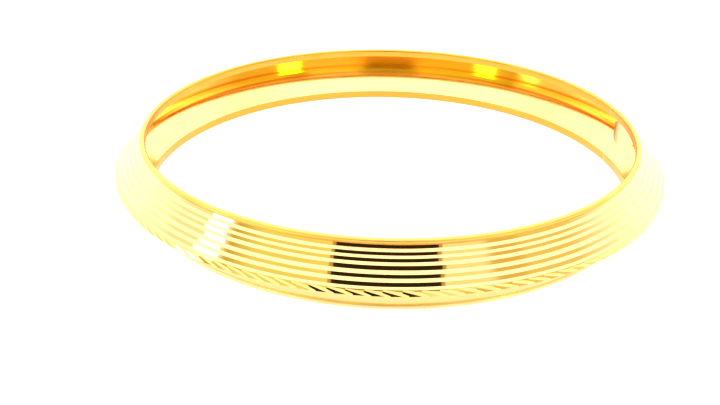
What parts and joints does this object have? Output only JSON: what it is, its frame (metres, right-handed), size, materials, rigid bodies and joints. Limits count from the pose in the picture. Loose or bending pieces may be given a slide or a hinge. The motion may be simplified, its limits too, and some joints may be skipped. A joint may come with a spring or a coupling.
{
  "type": "bangle bracelet",
  "caption": "Closed rigid bangle of knife-edge section with turned terraces on both faces, a diamond-cut ridge, beaded rims and an open inner channel.",
  "frame": {"origin": "centre of the ring on the plane that it lies on", "axes": "+Z along the wrist axis; the closing joint is 13 degrees from +X towards +Y; the viewed front is towards -Y"},
  "size_m": [0.0718, 0.0718, 0.0084],
  "materials": {
    "rim_gold": "polished yellow gold wire",
    "face_gold": "turned and polished yellow gold strip, smooth inner side",
    "ridge_gold": "diamond-cut yellow gold wire",
    "solder_gold": "gold solder, slightly paler, polished over"
  },
  "bodies": {
    "root": {"upper_rim_wire": "rim_gold", "lower_rim_wire": "rim_gold", "upper_face_strip": "face_gold", "lower_face_strip": "face_gold", "ridge_wire": "ridge_gold", "closing_solder": "solder_gold"}
  },
  "joints": []
}
